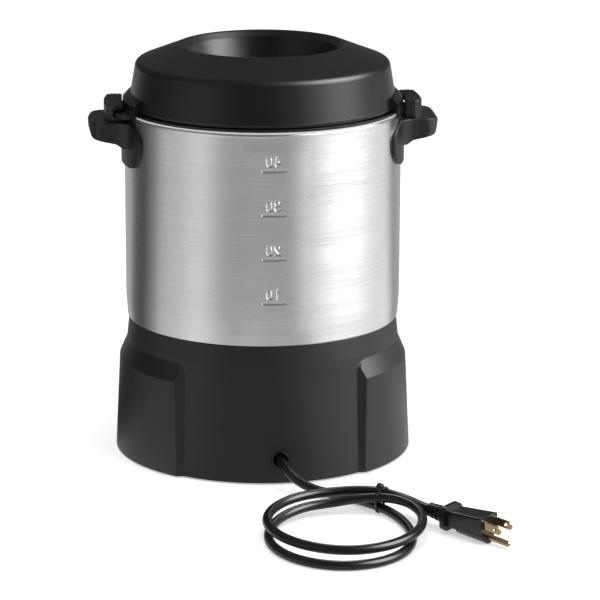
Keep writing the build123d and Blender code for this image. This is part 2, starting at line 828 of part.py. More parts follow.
def handle_washer(deg):
    seat = tank_in_r - washer_t
    blank = rod(washer_r, polar(seat, deg, handle_screw_z), polar(tank_r, deg, handle_screw_z))
    bore = rod(screw_r, polar(seat - over, deg, handle_screw_z), polar(tank_r + over, deg, handle_screw_z))
    inside = disc(tank_in_r, handle_screw_z - washer_r - over, handle_screw_z + washer_r + over)
    return (blank & inside) - bore


def pump_tube():
    low = well_top + foot_gap + foot_h - tube_sunk
    tube = ring(tube_r, tube_r - tube_wall, low, tube_top_z)
    return tube + ring(collar_r, tube_r - tube_wall, collar_z - collar_t, collar_z)


def pump_foot():
    """A bell that stands in the well, with a neck round the tube and notches for the water."""
    low = well_top + foot_gap
    top = low + foot_h
    waist, waist_r = low + foot_h / 2, foot_r - foot_draw
    neck_r, neck_z = tube_r + neck_wall, top - neck_h
    bell = turned((foot_r - foot_wall, low), (foot_r, low), (foot_r, low + foot_band), (waist_r, waist),
                  (neck_r, neck_z), (neck_r, top), (tube_r, top), (tube_r, neck_z - foot_wall),
                  (waist_r - foot_wall, waist - foot_wall), (foot_r - foot_wall, low + foot_band))
    notch = Box(2 * (foot_draw + foot_wall), foot_notch_w, foot_notch_h)
    for cut in around(Pos(foot_r, 0, low + foot_band + foot_notch_h / 2) * notch, foot_notch_count):
        bell -= cut
    return bell


def pump_strainer():
    """The holed plate that closes the bell's mouth."""
    low = well_top + foot_gap
    plate = disc(foot_r - foot_wall, low, low + strainer_t)
    for cut in around(disc(strainer_hole_r, low, low + strainer_t, strainer_ring_r), strainer_count):
        plate -= cut
    return plate


def hole_ring(radius, z0, z1):
    count = round(2 * math.pi * radius / hole_pitch)
    return around(disc(basket_hole_r, z0, z1, radius), count)


def basket():
    floor = collar_z + basket_wall
    top = collar_z + basket_h
    bowl = disc(basket_r, collar_z, top) - disc(basket_r - basket_wall, floor, top)
    bowl += ring(basket_r + basket_lip, basket_r - basket_wall, top - basket_lip_h, top)
    bore = tube_r + basket_gap
    bowl += ring(bore + sleeve_wall, bore, collar_z, collar_z + sleeve_h)
    bowl -= disc(bore, collar_z - over, floor + over)
    for radius in hole_rows:
        for cut in hole_ring(radius, collar_z - over, floor + over):
            bowl -= cut
    return bowl


def spreader():
    """The basket's lid: a dished plate with a rim that drops into the basket."""
    low = collar_z + basket_h
    drop_r = basket_r - basket_wall - spreader_gap
    plate = disc(basket_r + basket_lip, low, low + spreader_t) - disc(tube_r + basket_gap, 0, low + over)
    plate += ring(drop_r, drop_r - spreader_t, low - spreader_rim_h, low)
    for radius in hole_rows:
        for cut in hole_ring(radius, low - spreader_t, low + 2 * spreader_t):
            plate -= cut
    return plate


def on_tap(shape):
    return Pos(0, tap_y, 0) * shape


def tap_body():
    low = seat_z - barrel_floor_t
    barrel = disc(barrel_r, low, bonnet_z) + disc(nozzle_r, low - nozzle_len, low)
    body = on_tap(barrel) + rod(shank_r, (0, tap_y, tap_z), (0, shank_inner_len - tank_in_r, tap_z))
    flange_y = -(tank_r + gasket_t)
    body += rod(tap_flange_r, (0, flange_y - tap_flange_t, tap_z), (0, flange_y, tap_z))
    body -= on_tap(disc(barrel_bore_r, seat_z, bonnet_z) + disc(outlet_r, low - nozzle_len, seat_z))
    return body - rod(shank_bore_r, (0, tap_y, tap_z), (0, shank_inner_len - tank_in_r + over, tap_z))


def tap_gasket():
    blank = rod(gasket_r, (0, -(tank_r + gasket_t), tap_z), (0, gasket_t - tank_r, tap_z))
    bore = rod(shank_r, (0, -(tank_r + gasket_t) - over, tap_z), (0, 0, tap_z))
    return blank - bore - disc(tank_r, tap_z - gasket_r - over, tap_z + gasket_r + over)


def tap_inner_washer():
    blank = rod(gasket_r, (0, gasket_t - tank_in_r, tap_z), (0, -tank_r, tap_z))
    bore = rod(shank_r, (0, 0, tap_z), (0, -tank_r - over, tap_z))
    return (blank & disc(tank_in_r, tap_z - gasket_r - over, tap_z + gasket_r + over)) - bore


def tap_nut():
    nut = hexagon(nut_r, 0, nut_t) - disc(shank_r, -over, nut_t + over)
    return to_front(nut, tap_z, gasket_t - tank_in_r + nut_t)


def tap_bonnet():
    top = disc(bonnet_r, bonnet_z, bonnet_top_z) - disc(stem_r + stem_gap, bonnet_z, bonnet_top_z)
    return on_tap(top + ring(bonnet_r, barrel_r, bonnet_z - bonnet_skirt, bonnet_z))


def valve_stem():
    low = seat_z + cup_gap + cup_h / 2
    stem = disc(stem_r, low, pin_z - cam_r / 2)
    eye_low = pin_z - cam_r / 2 - eye_under
    eye_top = pin_z + eye_over
    stem += Pos(0, 0, (eye_low + eye_top) / 2) * Box(eye_w, eye_depth, eye_top - eye_low)
    bore = rod(pin_r, (-eye_w, 0, pin_z), (eye_w, 0, pin_z))
    return on_tap(stem - bore)


def seat_cup():
    low = seat_z + cup_gap
    cup = turned((0, low), (outlet_r + cup_foot, low), (cup_r, low + cup_bevel), (cup_r, low + cup_h),
                 (0, low + cup_h))
    return on_tap(cup - disc(stem_r, low + cup_h / 2, low + cup_h))


def valve_spring():
    low = seat_z + cup_gap + cup_h + spring_wire_r
    height = bonnet_z - spring_wire_r - low
    coil = Helix(pitch=height / spring_turns, height=height, radius=spring_r)
    wire_face = Plane(origin=coil @ 0, z_dir=coil % 0) * Circle(spring_wire_r)
    return on_tap(Pos(0, 0, low) * sweep(wire_face, coil))


def lever_pin():
    half = eye_w / 2 + cheek_gap + cheek_t
    return on_tap(rod(pin_r, (-half, 0, pin_z), (half, 0, pin_z)))


def cam_point(deg):
    """Where the cheek meets the bonnet with the lever turned this far, from the pin's centre."""
    a = math.radians(deg)
    h = cam_r + cam_throw * a
    return (-h * math.sin(a) - cam_throw * math.cos(a), -h * math.cos(a) + cam_throw * math.sin(a))


def lever_cheek():
    """A cam that rolls on the bonnet and lifts the pin in step with the lever's turn."""
    heel = [cam_point(cam_turn_deg * i / 4) for i in range(5)]
    nose = heel[-1]
    rise = Line((cam_r, -cam_r), heel[0])
    roll = Spline(*heel, tangents=[(-1, 0), (nose[0] - heel[-2][0], nose[1] - heel[-2][1])])
    rest = Polyline(nose, (-cam_r, cam_r), (cam_r, cam_r), (cam_r, -cam_r))
    return extrude(Plane.YZ * make_face(rise.edges() + roll.edges() + rest.edges()), cheek_t)


def tap_lever():
    inner = eye_w / 2 + cheek_gap
    width = 2 * (inner + cheek_t)
    shape = Pos(inner, 0, 0) * lever_cheek() + Pos(-inner - cheek_t, 0, 0) * lever_cheek()
    bridge_z = eye_over + cam_r / 2
    shape += Pos(0, 0, bridge_z + lever_t / 2) * Box(width, 2 * cam_r, lever_t)
    for side in (-1, 1):
        web = Box(cheek_t, 2 * cam_r, lever_web)
        shape += Pos(side * (inner + cheek_t / 2), 0, bridge_z - lever_web_drop) * web
    blade = Polyline((-width / 2, 0), (width / 2, 0), (lever_tip_w / 2, lever_len),
                     (-lever_tip_w / 2, lever_len), close=True)
    arm = extrude(make_face(blade), lever_t / 2, both=True)
    arm = fillet(arm.edges().filter_by(Axis.Z).sort_by(Axis.Y)[-2:], lever_tip_w / 4)
    shape += Pos(0, 0, bridge_z + lever_t / 2) * Rot(90 + lever_lean_deg, 0, 0) * arm
    shape -= rod(pin_r + pin_gap, (-width, 0, 0), (width, 0, 0))
    return Pos(0, tap_y, pin_z) * shape


def biarc(start, start_way, end, end_way):
    """Two arcs from one point and direction to another, which meet smoothly."""
    a, b = Vector(*start), Vector(*end)
    u, v = Vector(*start_way).normalized(), Vector(*end_way).normalized()
    gap = b - a
    lean = 2 * (1 - u.dot(v))
    reach = gap.dot(u + v)
    d = (math.sqrt(reach ** 2 + lean * gap.dot(gap)) - reach) / lean
    joint = (a + u * d + b - v * d) * 0.5
    first = TangentArc(a, joint, tangent=u)
    second = TangentArc(joint, b, tangent=first % 1)
    return [first, second]


def coil_places():
    """Points and directions of the two turns: from the tie, round, through it again, and back to it."""
    ways = [(0, 1, 0), (1, 0, 0), (0, -1, 0), (-1, 0, 0)]
    sides = [(-1, 0), (0, 1), (1, 0), (0, -1)]
    low, top = Vector(*tie_low), Vector(*tie_top)
    places = [(low + Vector(*tie_low_way).normalized() * cord_d, tie_low_way)]
    for turn, (centre, half, heights) in enumerate(zip(turn_centres, turn_halves, turn_heights)):
        for (dx, dy), way, z in zip(sides, ways, heights):
            places.append(((centre[0] + dx * half[0], centre[1] + dy * half[1], z), way))
        if turn == 0:
            places.append((tie_mid, tie_mid_way))
    places.append((top - Vector(*tie_top_way).normalized() * cord_d, tie_top_way))
    return places


def coil_path():
    places = coil_places()
    edges = [Line(tie_low, places[0][0])]
    for (start, start_way), (end, end_way) in zip(places, places[1:]):
        edges += biarc(tuple(start), start_way, tuple(end), end_way)
    edges.append(Line(edges[-1] @ 1, tie_top))
    return Wire([edge for line in edges for edge in line.edges()])


def cord_tube(path):
    face = Plane(origin=path @ 0, z_dir=path % 0) * Circle(cord_r)
    return sweep(face, path)


def run_radii(points):
    """For each corner, an arc as large as its shorter run allows."""
    radii = []
    for a, b, c in zip(points, points[1:], points[2:]):
        before, after = Vector(*b) - Vector(*a), Vector(*c) - Vector(*b)
        half_turn = math.radians(before.get_angle(after)) / 2
        radii.append(run_share * min(before.length, after.length) / math.tan(half_turn))
    return radii


def free_run(name, points):
    radii = run_radii(points)
    path = FilletPolyline(*points, radius=radii)
    tube = cord_tube(path)
    share = tube.volume / (math.pi * cord_r ** 2 * path.length)
    print(f"{name}: length {path.length:.1f}, tightest arc {min(radii):.1f}, volume share {share:.4f}")
    return tube


def cord_exit():
    x, z = cord_out
    inner_end = (x, base_r_at(z) - cord_inner_len, z)
    return free_run("cord_exit", [inner_end, *exit_points, tie_low])


def cord_coil():
    path = coil_path()
    tube = cord_tube(path)
    share = tube.volume / (math.pi * cord_r ** 2 * path.length)
    print(f"cord_coil: length {path.length:.1f}, least gap {least_gap(path):.2f}, volume share {share:.4f}")
    return tube


def least_gap(path):
    """Smallest space between parts of the coil that lie further apart along it than a few diameters."""
    step = 2.0
    count = int(path.length / step)
    points = [path @ (i / count) for i in range(count + 1)]
    apart = int(6 * cord_d / step)
    spaces = [(a - b).length for i, a in enumerate(points) for b in points[i + apart:]]
    return min(spaces) - cord_d


def cord_tail():
    return free_run("cord_tail", [tie_top, *tail_points, plug_start])


def bushing():
    """The moulded bush that grips the cord in the back wall, with a funnel outside and a collar inside."""
    x, z = cord_out
    outer = base_r_at(z) + bushing_proud
    inner_wall = base_r_at(z) - base_wall
    start = outer - bushing_len
    bush = turned((cord_r, start), (bushing_r, start), (bushing_r, outer), (bushing_mouth_r, outer),
                  (cord_r, start + bushing_grip))
    seat = inner_wall - bushing_collar_gap
    bush += ring(bushing_collar_r, bushing_r - bushing_joint, seat - bushing_collar_t, seat)
    return Pos(x, 0, z) * Rot(-90, 0, 0) * bush


def cable_tie():
    """A soft wire tie round the three cords, with its ends twisted together."""
    low_way, top_way = Vector(*tie_low_way).normalized(), Vector(*tie_top_way).normalized()
    way = (low_way + top_way).normalized()
    plane = Plane(origin=Vector(*tie_mid), x_dir=Vector(0, 0, 1).cross(way), z_dir=way)
    centres = []
    for place, cord_way in ((tie_low, low_way), (tie_mid, way), (tie_top, top_way)):
        ahead = (plane.origin - Vector(*place)).dot(way) / cord_way.dot(way)
        centres.append(plane.to_local_coords(Vector(*place) + cord_way * ahead))
    rounds = [Pos(c.X, c.Y) * Circle(cord_r + tie_gap + tie_t) for c in centres]
    band = make_hull([edge for shape in rounds for edge in shape.edges()])
    hole = offset(band, amount=-tie_t)
    loop = extrude(plane * (band - hole), tie_w / 2, both=True)
    crown = plane.from_local_coords(centres[2] + Vector(0, cord_r + tie_gap))
    return loop + rod(tie_twist_r, tuple(crown), tuple(crown + Vector(*tie_twist_lean)))


def on_plug(shape):
    lean = Rot(0, plug_nose_down_deg, 0) * Rot(plug_roll_deg, 0, 0)
    return Pos(*plug_start) * Rot(0, 0, plug_turn_deg) * lean * shape


def along_x(shape):
    """Lays a round shape that was made along +Z so that it points along +X."""
    return Rot(0, 90, 0) * shape


def plug_body():
    relief = along_x(disc(relief_core_r, 0, relief_len))
    for i in range(relief_rib_count):
        share = i / (relief_rib_count - 1)
        r = relief_rib_r[0] + (relief_rib_r[1] - relief_rib_r[0]) * share
        start = (relief_len - relief_rib_w) * share
        relief += along_x(disc(r, start, start + relief_rib_w))
    collar = Pos(relief_len + plate_size[0] / 2, 0, plate_rise) * Box(*plate_size)
    collar = fillet(collar.edges().filter_by(Axis.X), plate_size[1] / 4)
    back_x = relief_len + plate_size[0]
    back = along_x(RectangleRounded(body_back[1], body_back[0], body_edge))
    face = along_x(RectangleRounded(body_face[1], body_face[0], body_edge))
    wedge = loft([Pos(back_x, 0, body_back_rise) * back, Pos(plug_len, 0, body_face_rise) * face])
    hump = Pos(plug_len - hump_len, 0, blade_line - ground_drop) * along_x(disc(hump_r, 0, hump_len))
    return on_plug(relief + collar + wedge + hump)


def plug_blades():
    length, thick, height = plug_blade
    blades = []
    for y in (-blade_pitch / 2, blade_pitch / 2):
        blade = Pos(plug_len + length / 2, y, blade_line) * Box(length, thick, height)
        blade = chamfer(blade.edges().filter_by(Axis.Y).sort_by(Axis.X)[-2:], thick)
        drill = Rot(90, 0, 0) * Cylinder(blade_hole_r, 4 * thick)
        hole = Pos(plug_len + blade_hole_from, y, blade_line) * drill
        blades.append(on_plug(blade - hole))
    return blades


def ground_pin():
    straight = ground_len - ground_r
    pin = along_x(disc(ground_r, 0, straight)) + Pos(straight, 0, 0) * Sphere(ground_r)
    return on_plug(Pos(plug_len, 0, blade_line - ground_drop) * pin)


os.makedirs("parts", exist_ok=True)

save("tank", tank())
save("base_shell", base_shell())
save("base_cover", bottom_cover())
save("base_cover_screws", *around(cover_screw(), boss_count, 180 / boss_count))
save("base_feet", *around(foot_pad(), pad_foot_count))
save("clamp_plate", clamp_plate())
save("tank_stud", tank_stud())
save("centre_nut", centre_nut())
save("heater", heater())
save("heater_bed", heater_bed())
save("thermostat", thermostat())
save("thermal_fuse", thermal_fuse())
save("terminal_block", terminal_block())
save("mains_wires", *mains_wires())
save("heater_wires", *heater_wires())
save("lamp", lamp())
save("lamp_lens", lamp_lens())
save("lid", lid())
save("lid_seal", lid_seal())
for name, turn in (("left", 0), ("right", 180)):
    save(f"handle_{name}", Rot(0, 0, turn) * handle())
    save(f"lid_hook_{name}", Rot(0, 0, turn) * lid_hook())
save("handle_screws", *[handle_screw(deg) for deg in handle_screw_places()])
save("handle_washers", *[handle_washer(deg) for deg in handle_screw_places()])
save("pump_tube", pump_tube())
save("pump_foot", pump_foot())
save("pump_strainer", pump_strainer())
save("basket", basket())
save("basket_spreader", spreader())
save("tap_body", tap_body())
save("tap_gasket", tap_gasket())
save("tap_inner_washer", tap_inner_washer())
save("tap_nut", tap_nut())
save("tap_bonnet", tap_bonnet())
save("valve_stem", valve_stem())
save("seat_cup", seat_cup())
save("valve_spring", valve_spring())
save("lever_pin", lever_pin())
save("tap_lever", tap_lever())
save("cord_bushing", bushing())
save("cord_exit", cord_exit())
save("cord_coil", cord_coil())
save("cord_tail", cord_tail())
save("cable_tie", cable_tie())
save("plug_body", plug_body())
save("plug_blades", *plug_blades())
save("plug_ground_pin", ground_pin())
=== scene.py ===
import bpy
import bmesh
import json
import math
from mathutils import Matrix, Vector


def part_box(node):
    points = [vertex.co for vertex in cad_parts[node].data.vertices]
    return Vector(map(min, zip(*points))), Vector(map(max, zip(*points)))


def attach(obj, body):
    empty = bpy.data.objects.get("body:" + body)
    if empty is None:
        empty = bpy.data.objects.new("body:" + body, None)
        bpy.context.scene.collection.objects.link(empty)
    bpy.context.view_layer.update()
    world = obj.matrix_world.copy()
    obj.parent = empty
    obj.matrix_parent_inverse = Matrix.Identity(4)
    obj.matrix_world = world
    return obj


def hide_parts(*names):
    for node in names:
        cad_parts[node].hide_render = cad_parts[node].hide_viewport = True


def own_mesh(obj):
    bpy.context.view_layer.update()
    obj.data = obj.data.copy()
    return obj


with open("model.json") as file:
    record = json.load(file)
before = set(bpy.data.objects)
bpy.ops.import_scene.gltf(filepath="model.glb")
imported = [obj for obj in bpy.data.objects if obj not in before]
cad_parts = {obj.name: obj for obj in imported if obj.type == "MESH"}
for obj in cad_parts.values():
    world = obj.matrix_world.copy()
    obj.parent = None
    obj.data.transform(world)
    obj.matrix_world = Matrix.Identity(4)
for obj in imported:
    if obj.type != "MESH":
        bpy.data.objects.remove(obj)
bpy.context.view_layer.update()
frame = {"nodes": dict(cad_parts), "record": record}
nodes = frame["nodes"]
slots = {part["node"]: part["material_slot"] for part in frame["record"]["subparts"]}
mm = 0.001
print("frame loaded with", len(nodes), "nodes")


# Helpers for pieces

def addPiece(name, data):
    piece = bpy.data.objects.new(name, data)
    bpy.context.scene.collection.objects.link(piece)
    return piece


def metres(point):
    return Vector(point) * mm


def easeIn(share):                   # from 0 to 1, slow at both ends
    share = min(1.0, max(0.0, share))
    return share * share * (3 - 2 * share)


def meshFrom(build, name):
    sheet = bmesh.new()
    build(sheet)
    bmesh.ops.recalc_face_normals(sheet, faces=sheet.faces)
    mesh = bpy.data.meshes.new(name)
    sheet.to_mesh(mesh)
    sheet.free()
    for face in mesh.polygons:
        face.use_smooth = True
    return mesh


def closestStart(last, first):      # turns the first ring so that its corners face those of the last one
    shift = min(range(len(first)), key=lambda k: (first[k].co - last[0].co).length)
    return [first[(k + shift) % len(first)] for k in range(len(first))]


def tubeMesh(sheet, points, radius, sides, closed=False):      # one radius, or a list with one for each point
    count = len(points)
    rings = []
    side = None
    for i, point in enumerate(points):
        before = points[i - 1] if closed or i else point
        after = points[(i + 1) % count] if closed or i < count - 1 else point
        way = (after - before).normalized()
        side = (side - way * side.dot(way)).normalized() if side else way.orthogonal().normalized()
        up = way.cross(side)
        size = radius[i] if isinstance(radius, list) else radius
        rings.append([sheet.verts.new(point + (side * math.cos(turn) + up * math.sin(turn)) * size)
                      for turn in (2 * math.pi * k / sides for k in range(sides))])
    pairs = list(zip(rings, rings[1:]))
    if closed:
        pairs.append((rings[-1], closestStart(rings[-1], rings[0])))
    for first, second in pairs:
        for k in range(sides):
            sheet.faces.new((first[k], first[(k + 1) % sides], second[(k + 1) % sides], second[k]))
    if not closed:
        sheet.faces.new(rings[0])
        sheet.faces.new(rings[-1][::-1])


# Camera, at the photograph's viewing angle
cameraView = {
    "place": (0.1752, 2.3856, 0.7516),      # metres
    "downDeg": 14.7,
    "turnDeg": 175.8,
    "lens": 176.1,
    "sensor": 36.0,
    "shiftX": 0.0623,
    "farthest": 60,
}


def makeCamera():
    data = bpy.data.cameras.new("photoCamera")
    data.lens = cameraView["lens"]
    data.sensor_width = cameraView["sensor"]
    data.shift_x = cameraView["shiftX"]
    data.clip_end = cameraView["farthest"]
    camera = addPiece("photoCamera", data)
    camera.location = cameraView["place"]
    camera.rotation_euler = (math.radians(90 - cameraView["downDeg"]), 0, math.radians(cameraView["turnDeg"]))
    bpy.context.scene.camera = camera


makeCamera()
print("camera set")


# Power cord: from the bush in the base's back wall, two turns held by a wire tie, then the plug
powerCord = {
    "diameter": 7.6,
    "length": 0.954,         # metres
    "outOfBase": [(-5.6, 109.5, 21.0), (-5.6, 123.5, 21.0), (-8.6, 137.0, 18.6), (-17.0, 147.5, 11.8),
                  (-31.0, 154.0, 6.0), (-47.5, 161.5, 4.2), (-61.5, 173.5, 4.1), (-71.2, 187.2, 5.0)],
    "tieLow": (-77.0, 196.0, 5.3),
    "intoFirst": [(-84.2, 207.5, 5.0), (-90.8, 222.5, 4.4), (-95.4, 241.0, 3.9)],
    "firstTurn": {"centre": (-40.5, 262.0), "half": (55.0, 65.0), "heights": (3.85, 3.85, 3.85, 9.0)},
    "leaveFirst": [(-59.0, 197.0, 12.4)],
    "tieMiddle": (-76.5, 199.8, 14.2),
    "intoSecond": [(-89.5, 204.6, 14.2), (-99.2, 215.5, 14.1), (-104.6, 231.0, 13.9)],
    "secondTurn": {"centre": (-45.2, 248.5), "half": (59.8, 64.0), "heights": (13.6, 10.8, 12.6, 14.2)},
    "leaveSecond": [(-62.0, 186.0, 15.8)],
    "tieTop": (-76.5, 190.0, 16.2),
    "toPlug": [(-85.9, 193.4, 14.7), (-95.2, 199.6, 13.3), (-102.7, 208.6, 12.7), (-107.1, 219.2, 13.2)],
    "plugEnd": (-114.2, 227.8, 12.7),
    "turnSweep": 1.5 * math.pi,         # the listed points close the rest of each turn
    "stepsPerTurn": 12,
    "stepsPerPoint": 10,
    "roundness": 6,
}


def turnPoints(turn):
    steps, sweep = powerCord["stepsPerTurn"], powerCord["turnSweep"]
    outside = 1 / math.cos(sweep / steps / 2)      # the line runs inside its control points
    heights = turn["heights"]
    spans = len(heights) - 1
    points = []
    for step in range(steps + 1):
        angle = math.pi - sweep * step / steps
        low = min(spans * step // steps, spans - 1)
        height = heights[low] + (heights[low + 1] - heights[low]) * easeIn(spans * step / steps - low)
        points.append((turn["centre"][0] + turn["half"][0] * outside * math.cos(angle),
                       turn["centre"][1] + turn["half"][1] * outside * math.sin(angle), height))
    return points


def cordPoints():
    spec = powerCord
    return [*spec["outOfBase"], spec["tieLow"], *spec["intoFirst"], *turnPoints(spec["firstTurn"]),
            *spec["leaveFirst"], spec["tieMiddle"], *spec["intoSecond"], *turnPoints(spec["secondTurn"]),
            *spec["leaveSecond"], spec["tieTop"], *spec["toPlug"], spec["plugEnd"]]


def splineThrough(name, points, radius):
    curve = bpy.data.curves.new(name, "CURVE")
    curve.dimensions = "3D"
    spline = curve.splines.new("NURBS")
    spline.points.add(len(points) - 1)
    for knot, point in zip(spline.points, points):
        knot.co = (*metres(point), 1)
        knot.radius = radius * mm
    spline.order_u = 3
    spline.use_endpoint_u = True
    return curve


def makeCord():
    curve = splineThrough("powerCord", cordPoints(), powerCord["diameter"] / 2)
    curve.splines[0].resolution_u = powerCord["stepsPerPoint"]
    curve.bevel_depth = 1.0          # times each point's own radius
    curve.bevel_resolution = powerCord["roundness"]
    curve.use_fill_caps = True
    cord = addPiece("powerCord", curve)
    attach(cord, "urn")
    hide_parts("cord_exit", "cord_coil", "cord_tail")
    return cord


cordPiece = makeCord()
print("power cord laid")


# Wire tie round the three passes of the cord, with its ends twisted together
wireTie = {
    "wireR": 0.62,
    "bandWide": 2.0,         # the tie is this many times as wide as it is thick
    "clear": 0.08,           # between the tie and the cord
    "loopSteps": 72,
    "sides": 10,
    "seamLean": 0.35,        # the twist starts at the seam of the two upper passes
    "leanAlong": 0.3,        # the twist leans along the cord, and a little across it
    "leanAcross": 0.25,
    "twistR": 0.9,
    "twistLength": 4.6,
    "twistTurns": 1.0,
    "twistSteps": 24,
    "knobFrom": 2.6,         # the ends are bent over into a small block
    "knobR": 3.1,
    "knobLength": 5.4,
    "knobShape": [(0.0, 0.6), (0.06, 0.85), (0.2, 0.97), (0.5, 1.0), (0.8, 0.97), (0.94, 0.85), (1.0, 0.6)],
    "knobSides": 14,
}


def wayBetween(start, end):
    return (metres(end) - metres(start)).normalized()


def tieLoop(origin, way, across, up, passes):      # a tight line round the passes of the cord
    offsets = []
    for place, cordWay in passes:
        ahead = (origin - metres(place)).dot(way) / cordWay.dot(way)
        offset = metres(place) + cordWay * ahead - origin
        offsets.append((offset.dot(across), offset.dot(up)))
    reach = (powerCord["diameter"] / 2 + wireTie["clear"] + wireTie["wireR"]) * mm
    loop = []
    for step in range(wireTie["loopSteps"]):
        turn = 2 * math.pi * step / wireTie["loopSteps"]
        c, s = math.cos(turn), math.sin(turn)
        x, y = max(offsets, key=lambda p: p[0] * c + p[1] * s)
        loop.append(origin + across * (x + reach * c) + up * (y + reach * s))
    return loop


def tieStrand(foot, lean, way, start):      # one of the two ends, wound round the other
    sideways = lean.cross(way).normalized()
    behind = lean.cross(sideways)
    strand = []
    for step in range(wireTie["twistSteps"] + 1):
        share = step / wireTie["twistSteps"]
        turn = start + 2 * math.pi * wireTie["twistTurns"] * share
        aside = (sideways * math.cos(turn) + behind * math.sin(turn)) * wireTie["twistR"] * mm
        strand.append(foot + lean * (wireTie["twistLength"] * share * mm) + aside)
    return strand


def makeTie():
    origin = metres(powerCord["tieMiddle"])
    lowWay = wayBetween(powerCord["outOfBase"][-1], powerCord["tieLow"])
    topWay = wayBetween(powerCord["tieTop"], powerCord["toPlug"][0])
    way = (lowWay + topWay).normalized()
    across = Vector((0, 0, 1)).cross(way).normalized()
    up = way.cross(across).normalized()
    loop = tieLoop(origin, way, across, up, [(powerCord["tieLow"], lowWay), (powerCord["tieMiddle"], way),
                                             (powerCord["tieTop"], topWay)])
    seamWay = up - across * wireTie["seamLean"]
    foot = max(loop, key=lambda point: (point - origin).dot(seamWay))
    lean = (up + way * wireTie["leanAlong"] + across * wireTie["leanAcross"]).normalized()
    wireR = wireTie["wireR"] * mm

    def build(sheet):
        tubeMesh(sheet, loop, wireR, wireTie["sides"], closed=True)
        for vert in sheet.verts:
            vert.co += way * ((vert.co - origin).dot(way) * (wireTie["bandWide"] - 1))
        for start in (0, math.pi):
            tubeMesh(sheet, tieStrand(foot, lean, way, start), wireR, wireTie["sides"])
        middles = [foot + lean * ((wireTie["knobFrom"] + wireTie["knobLength"] * share) * mm)
                   for share, size in wireTie["knobShape"]]
        sizes = [wireTie["knobR"] * size * mm for share, size in wireTie["knobShape"]]
        tubeMesh(sheet, middles, sizes, wireTie["knobSides"])

    tie = addPiece("wireTie", meshFrom(build, "wireTie"))
    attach(tie, "urn")
    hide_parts("cable_tie")
    return tie


tiePiece = makeTie()
print("wire tie made")


# Valve spring in the tap's bonnet; the real spring shortens as the lever lifts the stem, while this coil
# keeps its length and moves with the stem
valveSpring = {
    "wireR": 0.55,
    "turns": 4,
    "stepsPerTurn": 20,
    "sides": 8,
}


def makeValveSpring():
    low, high = (Vector(corner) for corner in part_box("valve_spring"))
    wireR = valveSpring["wireR"] * mm
    foot, height = low.z + wireR, high.z - low.z - 2 * wireR
    middle = (low + high) / 2
    coilR = (high.x - low.x) / 2 - wireR
    steps = valveSpring["turns"] * valveSpring["stepsPerTurn"]

    def build(sheet):
        coil = []
        for step in range(steps + 1):
            turn = 2 * math.pi * step / valveSpring["stepsPerTurn"]
            coil.append(Vector((middle.x + coilR * math.cos(turn), middle.y + coilR * math.sin(turn),
                                foot + height * step / steps)))
        tubeMesh(sheet, coil, wireR, valveSpring["sides"])

    spring = addPiece("valveSpring", meshFrom(build, "valveSpring"))
    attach(spring, "tap_stem")
    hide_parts("valve_spring")
    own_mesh(spring)
    return spring


springPiece = makeValveSpring()
print("valve spring wound")


# Level marks, pressed into the wall, to be read from inside. The wall's own mesh stays as it is, so the
# marks are grooves in a thin sheet that stands just proud of the wall and fades into it on every side.
levelMarks = {
    "wallR": 114.7,
    "proud": 0.46,
    "edgeUnder": 0.04,       # the sheet's edge lies this far under the wall's face
    "fineStep": 0.3,
    "wideStep": 2.0,
    "sheetHalf": 34.0,
    "sheetFoot": 124.0,
    "sheetTop": 286.0,
    "fineAcross": (-13.0, 11.5),
    "fineUp": (-3.5, 14.0),  # from a bar's middle
    "fade": (21.0, 15.0),    # the sheet's soft edge, across and up
    "barWidth": 20.6,
    "barHeight": 3.4,
    "barWall": 0.9,
    "barAcross": -0.7,       # the bars' middle, and the digits' middle, from the back's centre line
    "digitsAcross": -0.5,
    "digitHeight": 7.6,
    "digitWidth": 4.2,
    "digitPitch": 6.5,
    "digitGap": 1.8,         # between a bar and its digits
    "digitMargin": 1.0,      # further out than this from a digit's cell, nothing is pressed
    "strokeHalf": 0.95,
    "curveSteps": 4,
    "depth": 0.45,
    "levels": [("40", 259.9), ("30", 223.9), ("20", 187.7), ("10", 151.3)],
}

digitPaths = {               # in a cell one wide and one high
    "0": [[(0.5, 1.0), (0.9, 0.85), (1.0, 0.5), (0.9, 0.15), (0.5, 0.0), (0.1, 0.15), (0.0, 0.5),
           (0.1, 0.85), (0.5, 1.0)]],
    "1": [[(0.25, 0.78), (0.55, 1.0)], [(0.55, 1.0), (0.55, 0.0)]],
    "2": [[(0.05, 0.78), (0.22, 0.96), (0.55, 1.0), (0.9, 0.88), (0.9, 0.64), (0.55, 0.36), (0.05, 0.0)],
          [(0.05, 0.0), (1.0, 0.0)]],
    "3": [[(0.05, 0.84), (0.3, 0.98), (0.65, 0.99), (0.92, 0.82), (0.82, 0.6), (0.42, 0.53)],
          [(0.42, 0.53), (0.85, 0.46), (1.0, 0.24), (0.78, 0.03), (0.38, 0.0), (0.02, 0.14)]],
    "4": [[(0.74, 0.0), (0.74, 1.0)], [(0.74, 1.0), (0.0, 0.3)], [(0.0, 0.3), (1.0, 0.3)]],
}


def onWall(x, z, out):
    turn = x / levelMarks["wallR"]
    r = levelMarks["wallR"] + out
    return Vector((r * math.sin(turn), r * math.cos(turn), z)) * mm


def smoothPath(points):              # a rounded line through every point
    steps = levelMarks["curveSteps"]
    ends = [points[0], *points, points[-1]]
    path = []
    for before, here, there, after in zip(ends, ends[1:], ends[2:], ends[3:]):
        for step in range(steps):
            t = step / steps
            path.append([0.5 * (2 * b + (c - a) * t + (2 * a - 5 * b + 4 * c - d) * t * t
                                + (3 * b - a - 3 * c + d) * t ** 3)
                         for a, b, c, d in zip(before, here, there, after)])
    return [*path, points[-1]]


